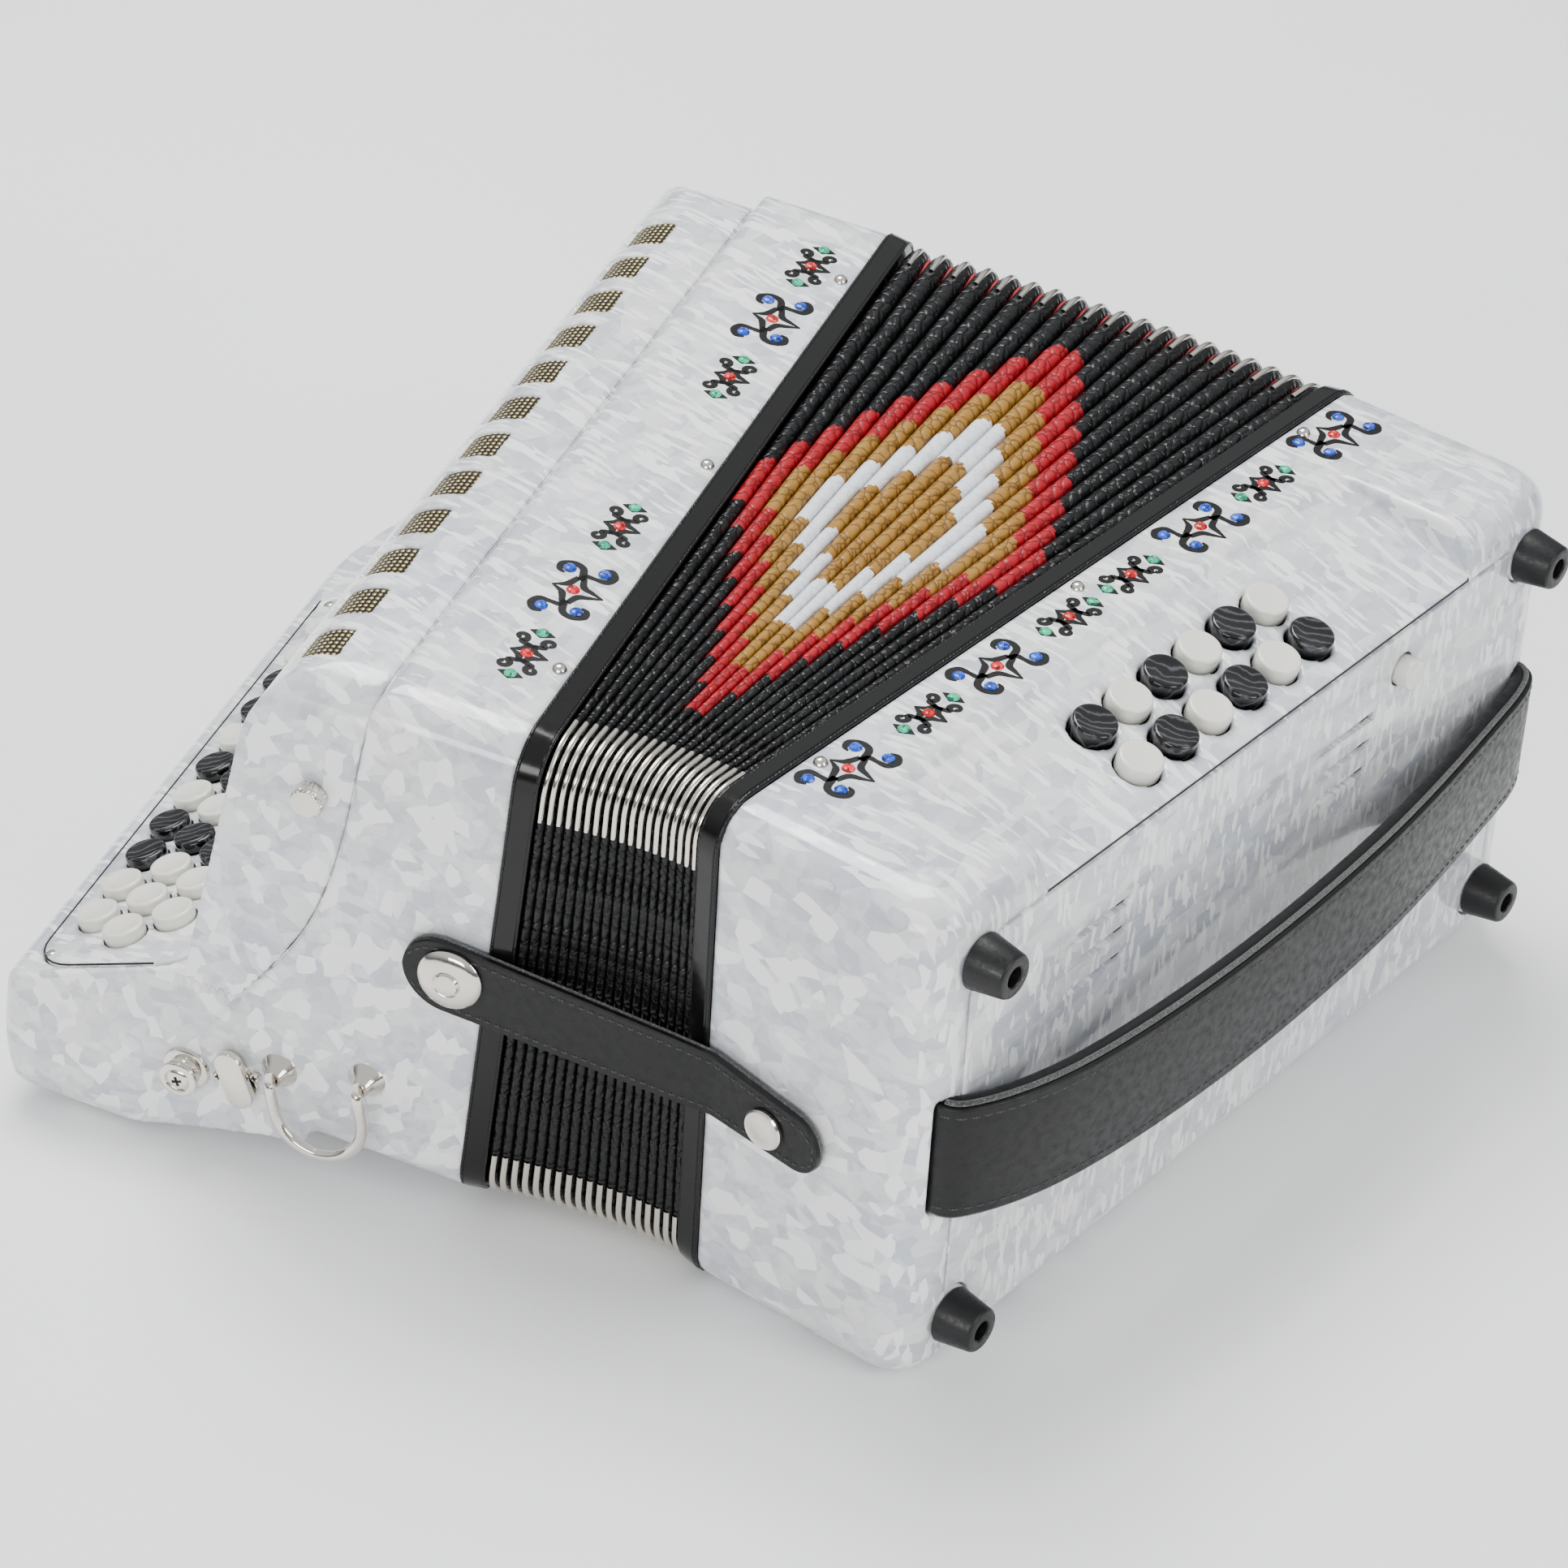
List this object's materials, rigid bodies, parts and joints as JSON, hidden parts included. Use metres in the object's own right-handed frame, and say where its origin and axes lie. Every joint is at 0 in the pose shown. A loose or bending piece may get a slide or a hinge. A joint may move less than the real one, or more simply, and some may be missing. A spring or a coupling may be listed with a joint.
{
  "type": "diatonic button accordion",
  "caption": "Button accordion lying on its back, bellows fanned open: hollow cases, folded bellows, sprung buttons, hand strap, bail and rubber feet.",
  "frame": {"origin": "under the middle of the instrument, on the surface that it lies on", "axes": "+Z from its back to its front, +X from the treble side to the bass side, +Y along the cases towards the open end of the bellows"},
  "size_m": [0.3946, 0.392, 0.186],
  "materials": {
    "pearl": "glossy white pearl celluloid over a wooden case",
    "frame_gloss": "high gloss black lacquer",
    "bellows_tape": "wrinkled black bellows tape, semi-gloss",
    "bellows_red": "wrinkled red bellows tape, semi-gloss",
    "bellows_gold": "wrinkled gold bellows tape, satin",
    "bellows_white": "smooth white bellows tape, semi-gloss",
    "gusset_red": "matt red cloth",
    "strap_leather": "stitched black leather, semi-gloss",
    "nickel": "polished nickel plate",
    "button_cream": "polished cream plastic",
    "button_black": "polished black pearl plastic",
    "rubber": "satin black rubber",
    "ink": "printed black ornament",
    "gem_red": "faceted red stone",
    "gem_blue": "faceted blue stone",
    "gem_green": "faceted green stone",
    "grille_mesh": "woven brass grille",
    "thread": "black stitching thread"
  },
  "bodies": {
    "bass_side": {"bass_case": "pearl", "bass_end_plate": "pearl", "bass_bellows_frame": "frame_gloss", "hand_strap": "strap_leather", "foot_1": "rubber", "foot_2": "rubber", "foot_3": "rubber", "foot_4": "rubber", "bellows": "bellows_tape", "bellows_strap": "strap_leather"},
    "treble_side": {"treble_case": "pearl", "treble_cover": "pearl", "treble_bellows_frame": "frame_gloss", "treble_button_board": "pearl"},
    "strap_ring": {"strap_ring": "nickel"},
    "turn_latch": {"turn_latch": "nickel"},
    "air_button": {"air_button": "button_cream"},
    "bass_button_1_1": {"bass_button_1_1": "button_black"},
    "bass_button_1_2": {"bass_button_1_2": "button_cream"},
    "bass_button_1_3": {"bass_button_1_3": "button_black"},
    "bass_button_1_4": {"bass_button_1_4": "button_cream"},
    "bass_button_1_5": {"bass_button_1_5": "button_black"},
    "bass_button_1_6": {"bass_button_1_6": "button_cream"},
    "bass_button_2_1": {"bass_button_2_1": "button_cream"},
    "bass_button_2_2": {"bass_button_2_2": "button_black"},
    "bass_button_2_3": {"bass_button_2_3": "button_cream"},
    "bass_button_2_4": {"bass_button_2_4": "button_black"},
    "bass_button_2_5": {"bass_button_2_5": "button_cream"},
    "bass_button_2_6": {"bass_button_2_6": "button_black"},
    "treble_button_1_1": {"treble_button_1_1": "button_cream"},
    "treble_button_1_2": {"treble_button_1_2": "button_cream"},
    "treble_button_1_3": {"treble_button_1_3": "button_black"},
    "treble_button_1_4": {"treble_button_1_4": "button_black"},
    "treble_button_1_5": {"treble_button_1_5": "button_cream"},
    "treble_button_1_6": {"treble_button_1_6": "button_black"},
    "treble_button_1_7": {"treble_button_1_7": "button_cream"},
    "treble_button_1_8": {"treble_button_1_8": "button_black"},
    "treble_button_1_9": {"treble_button_1_9": "button_black"},
    "treble_button_1_10": {"treble_button_1_10": "button_cream"},
    "treble_button_2_1": {"treble_button_2_1": "button_cream"},
    "treble_button_2_2": {"treble_button_2_2": "button_cream"},
    "treble_button_2_3": {"treble_button_2_3": "button_cream"},
    "treble_button_2_4": {"treble_button_2_4": "button_black"},
    "treble_button_2_5": {"treble_button_2_5": "button_cream"},
    "treble_button_2_6": {"treble_button_2_6": "button_black"},
    "treble_button_2_7": {"treble_button_2_7": "button_cream"},
    "treble_button_2_8": {"treble_button_2_8": "button_black"},
    "treble_button_2_9": {"treble_button_2_9": "button_cream"},
    "treble_button_2_10": {"treble_button_2_10": "button_black"},
    "treble_button_2_11": {"treble_button_2_11": "button_cream"},
    "treble_button_3_1": {"treble_button_3_1": "button_cream"},
    "treble_button_3_2": {"treble_button_3_2": "button_cream"},
    "treble_button_3_3": {"treble_button_3_3": "button_black"},
    "treble_button_3_4": {"treble_button_3_4": "button_cream"},
    "treble_button_3_5": {"treble_button_3_5": "button_cream"},
    "treble_button_3_6": {"treble_button_3_6": "button_black"},
    "treble_button_3_7": {"treble_button_3_7": "button_cream"},
    "treble_button_3_8": {"treble_button_3_8": "button_cream"},
    "treble_button_3_9": {"treble_button_3_9": "button_black"},
    "treble_button_3_10": {"treble_button_3_10": "button_cream"}
  },
  "joints": [
    {"name": "bellows_fan", "type": "hinge", "parent": "bass_side", "child": "treble_side", "pos_m": [0.09878, -0.14985, 0], "axis": [0, 0.2924, 0.9563], "range_deg": [-19.16, 8], "deforming": ["bellows", "bellows_strap"]},
    {"name": "strap_ring_swing", "type": "hinge", "parent": "treble_side", "child": "strap_ring", "pos_m": [-0.01492, -0.17085, 0.04173], "axis": [-0.9338, -0.3057, -0.1859], "range_deg": [-10, 150]},
    {"name": "turn_latch_turn", "type": "hinge", "parent": "treble_side", "child": "turn_latch", "pos_m": [-0.04396, -0.17135, 0.03299], "axis": [0.3139, -0.9493, -0.0155], "range_deg": [0, 90]},
    {"name": "air_button_press", "type": "slide", "parent": "bass_side", "child": "air_button", "axis": [-1, 0, 0], "range_m": [0, 0.003], "stiffness_N_per_m": 250},
    {"name": "bass_button_1_1_press", "type": "slide", "parent": "bass_side", "child": "bass_button_1_1", "axis": [-0.2638, 0, -0.9646], "range_m": [0, 0.003], "stiffness_N_per_m": 250},
    {"name": "bass_button_1_2_press", "type": "slide", "parent": "bass_side", "child": "bass_button_1_2", "axis": [-0.2638, 0, -0.9646], "range_m": [0, 0.003], "stiffness_N_per_m": 250},
    {"name": "bass_button_1_3_press", "type": "slide", "parent": "bass_side", "child": "bass_button_1_3", "axis": [-0.2638, 0, -0.9646], "range_m": [0, 0.003], "stiffness_N_per_m": 250},
    {"name": "bass_button_1_4_press", "type": "slide", "parent": "bass_side", "child": "bass_button_1_4", "axis": [-0.2638, 0, -0.9646], "range_m": [0, 0.003], "stiffness_N_per_m": 250},
    {"name": "bass_button_1_5_press", "type": "slide", "parent": "bass_side", "child": "bass_button_1_5", "axis": [-0.2638, 0, -0.9646], "range_m": [0, 0.003], "stiffness_N_per_m": 250},
    {"name": "bass_button_1_6_press", "type": "slide", "parent": "bass_side", "child": "bass_button_1_6", "axis": [-0.2638, 0, -0.9646], "range_m": [0, 0.003], "stiffness_N_per_m": 250},
    {"name": "bass_button_2_1_press", "type": "slide", "parent": "bass_side", "child": "bass_button_2_1", "axis": [-0.2638, 0, -0.9646], "range_m": [0, 0.003], "stiffness_N_per_m": 250},
    {"name": "bass_button_2_2_press", "type": "slide", "parent": "bass_side", "child": "bass_button_2_2", "axis": [-0.2638, 0, -0.9646], "range_m": [0, 0.003], "stiffness_N_per_m": 250},
    {"name": "bass_button_2_3_press", "type": "slide", "parent": "bass_side", "child": "bass_button_2_3", "axis": [-0.2638, 0, -0.9646], "range_m": [0, 0.003], "stiffness_N_per_m": 250},
    {"name": "bass_button_2_4_press", "type": "slide", "parent": "bass_side", "child": "bass_button_2_4", "axis": [-0.2638, 0, -0.9646], "range_m": [0, 0.003], "stiffness_N_per_m": 250},
    {"name": "bass_button_2_5_press", "type": "slide", "parent": "bass_side", "child": "bass_button_2_5", "axis": [-0.2638, 0, -0.9646], "range_m": [0, 0.003], "stiffness_N_per_m": 250},
    {"name": "bass_button_2_6_press", "type": "slide", "parent": "bass_side", "child": "bass_button_2_6", "axis": [-0.2638, 0, -0.9646], "range_m": [0, 0.003], "stiffness_N_per_m": 250},
    {"name": "treble_button_1_1_press", "type": "slide", "parent": "treble_side", "child": "treble_button_1_1", "axis": [0.2965, 0.1135, -0.9482], "range_m": [0, 0.003], "stiffness_N_per_m": 250},
    {"name": "treble_button_1_2_press", "type": "slide", "parent": "treble_side", "child": "treble_button_1_2", "axis": [0.2965, 0.1135, -0.9482], "range_m": [0, 0.003], "stiffness_N_per_m": 250},
    {"name": "treble_button_1_3_press", "type": "slide", "parent": "treble_side", "child": "treble_button_1_3", "axis": [0.2965, 0.1135, -0.9482], "range_m": [0, 0.003], "stiffness_N_per_m": 250},
    {"name": "treble_button_1_4_press", "type": "slide", "parent": "treble_side", "child": "treble_button_1_4", "axis": [0.2965, 0.1135, -0.9482], "range_m": [0, 0.003], "stiffness_N_per_m": 250},
    {"name": "treble_button_1_5_press", "type": "slide", "parent": "treble_side", "child": "treble_button_1_5", "axis": [0.2965, 0.1135, -0.9482], "range_m": [0, 0.003], "stiffness_N_per_m": 250},
    {"name": "treble_button_1_6_press", "type": "slide", "parent": "treble_side", "child": "treble_button_1_6", "axis": [0.2965, 0.1135, -0.9482], "range_m": [0, 0.003], "stiffness_N_per_m": 250},
    {"name": "treble_button_1_7_press", "type": "slide", "parent": "treble_side", "child": "treble_button_1_7", "axis": [0.2965, 0.1135, -0.9482], "range_m": [0, 0.003], "stiffness_N_per_m": 250},
    {"name": "treble_button_1_8_press", "type": "slide", "parent": "treble_side", "child": "treble_button_1_8", "axis": [0.2965, 0.1135, -0.9482], "range_m": [0, 0.003], "stiffness_N_per_m": 250},
    {"name": "treble_button_1_9_press", "type": "slide", "parent": "treble_side", "child": "treble_button_1_9", "axis": [0.2965, 0.1135, -0.9482], "range_m": [0, 0.003], "stiffness_N_per_m": 250},
    {"name": "treble_button_1_10_press", "type": "slide", "parent": "treble_side", "child": "treble_button_1_10", "axis": [0.2965, 0.1135, -0.9482], "range_m": [0, 0.003], "stiffness_N_per_m": 250},
    {"name": "treble_button_2_1_press", "type": "slide", "parent": "treble_side", "child": "treble_button_2_1", "axis": [0.2965, 0.1135, -0.9482], "range_m": [0, 0.003], "stiffness_N_per_m": 250},
    {"name": "treble_button_2_2_press", "type": "slide", "parent": "treble_side", "child": "treble_button_2_2", "axis": [0.2965, 0.1135, -0.9482], "range_m": [0, 0.003], "stiffness_N_per_m": 250},
    {"name": "treble_button_2_3_press", "type": "slide", "parent": "treble_side", "child": "treble_button_2_3", "axis": [0.2965, 0.1135, -0.9482], "range_m": [0, 0.003], "stiffness_N_per_m": 250},
    {"name": "treble_button_2_4_press", "type": "slide", "parent": "treble_side", "child": "treble_button_2_4", "axis": [0.2965, 0.1135, -0.9482], "range_m": [0, 0.003], "stiffness_N_per_m": 250},
    {"name": "treble_button_2_5_press", "type": "slide", "parent": "treble_side", "child": "treble_button_2_5", "axis": [0.2965, 0.1135, -0.9482], "range_m": [0, 0.003], "stiffness_N_per_m": 250},
    {"name": "treble_button_2_6_press", "type": "slide", "parent": "treble_side", "child": "treble_button_2_6", "axis": [0.2965, 0.1135, -0.9482], "range_m": [0, 0.003], "stiffness_N_per_m": 250},
    {"name": "treble_button_2_7_press", "type": "slide", "parent": "treble_side", "child": "treble_button_2_7", "axis": [0.2965, 0.1135, -0.9482], "range_m": [0, 0.003], "stiffness_N_per_m": 250},
    {"name": "treble_button_2_8_press", "type": "slide", "parent": "treble_side", "child": "treble_button_2_8", "axis": [0.2965, 0.1135, -0.9482], "range_m": [0, 0.003], "stiffness_N_per_m": 250},
    {"name": "treble_button_2_9_press", "type": "slide", "parent": "treble_side", "child": "treble_button_2_9", "axis": [0.2965, 0.1135, -0.9482], "range_m": [0, 0.003], "stiffness_N_per_m": 250},
    {"name": "treble_button_2_10_press", "type": "slide", "parent": "treble_side", "child": "treble_button_2_10", "axis": [0.2965, 0.1135, -0.9482], "range_m": [0, 0.003], "stiffness_N_per_m": 250},
    {"name": "treble_button_2_11_press", "type": "slide", "parent": "treble_side", "child": "treble_button_2_11", "axis": [0.2965, 0.1135, -0.9482], "range_m": [0, 0.003], "stiffness_N_per_m": 250},
    {"name": "treble_button_3_1_press", "type": "slide", "parent": "treble_side", "child": "treble_button_3_1", "axis": [0.2965, 0.1135, -0.9482], "range_m": [0, 0.003], "stiffness_N_per_m": 250},
    {"name": "treble_button_3_2_press", "type": "slide", "parent": "treble_side", "child": "treble_button_3_2", "axis": [0.2965, 0.1135, -0.9482], "range_m": [0, 0.003], "stiffness_N_per_m": 250},
    {"name": "treble_button_3_3_press", "type": "slide", "parent": "treble_side", "child": "treble_button_3_3", "axis": [0.2965, 0.1135, -0.9482], "range_m": [0, 0.003], "stiffness_N_per_m": 250},
    {"name": "treble_button_3_4_press", "type": "slide", "parent": "treble_side", "child": "treble_button_3_4", "axis": [0.2965, 0.1135, -0.9482], "range_m": [0, 0.003], "stiffness_N_per_m": 250},
    {"name": "treble_button_3_5_press", "type": "slide", "parent": "treble_side", "child": "treble_button_3_5", "axis": [0.2965, 0.1135, -0.9482], "range_m": [0, 0.003], "stiffness_N_per_m": 250},
    {"name": "treble_button_3_6_press", "type": "slide", "parent": "treble_side", "child": "treble_button_3_6", "axis": [0.2965, 0.1135, -0.9482], "range_m": [0, 0.003], "stiffness_N_per_m": 250},
    {"name": "treble_button_3_7_press", "type": "slide", "parent": "treble_side", "child": "treble_button_3_7", "axis": [0.2965, 0.1135, -0.9482], "range_m": [0, 0.003], "stiffness_N_per_m": 250},
    {"name": "treble_button_3_8_press", "type": "slide", "parent": "treble_side", "child": "treble_button_3_8", "axis": [0.2965, 0.1135, -0.9482], "range_m": [0, 0.003], "stiffness_N_per_m": 250},
    {"name": "treble_button_3_9_press", "type": "slide", "parent": "treble_side", "child": "treble_button_3_9", "axis": [0.2965, 0.1135, -0.9482], "range_m": [0, 0.003], "stiffness_N_per_m": 250},
    {"name": "treble_button_3_10_press", "type": "slide", "parent": "treble_side", "child": "treble_button_3_10", "axis": [0.2965, 0.1135, -0.9482], "range_m": [0, 0.003], "stiffness_N_per_m": 250}
  ]
}
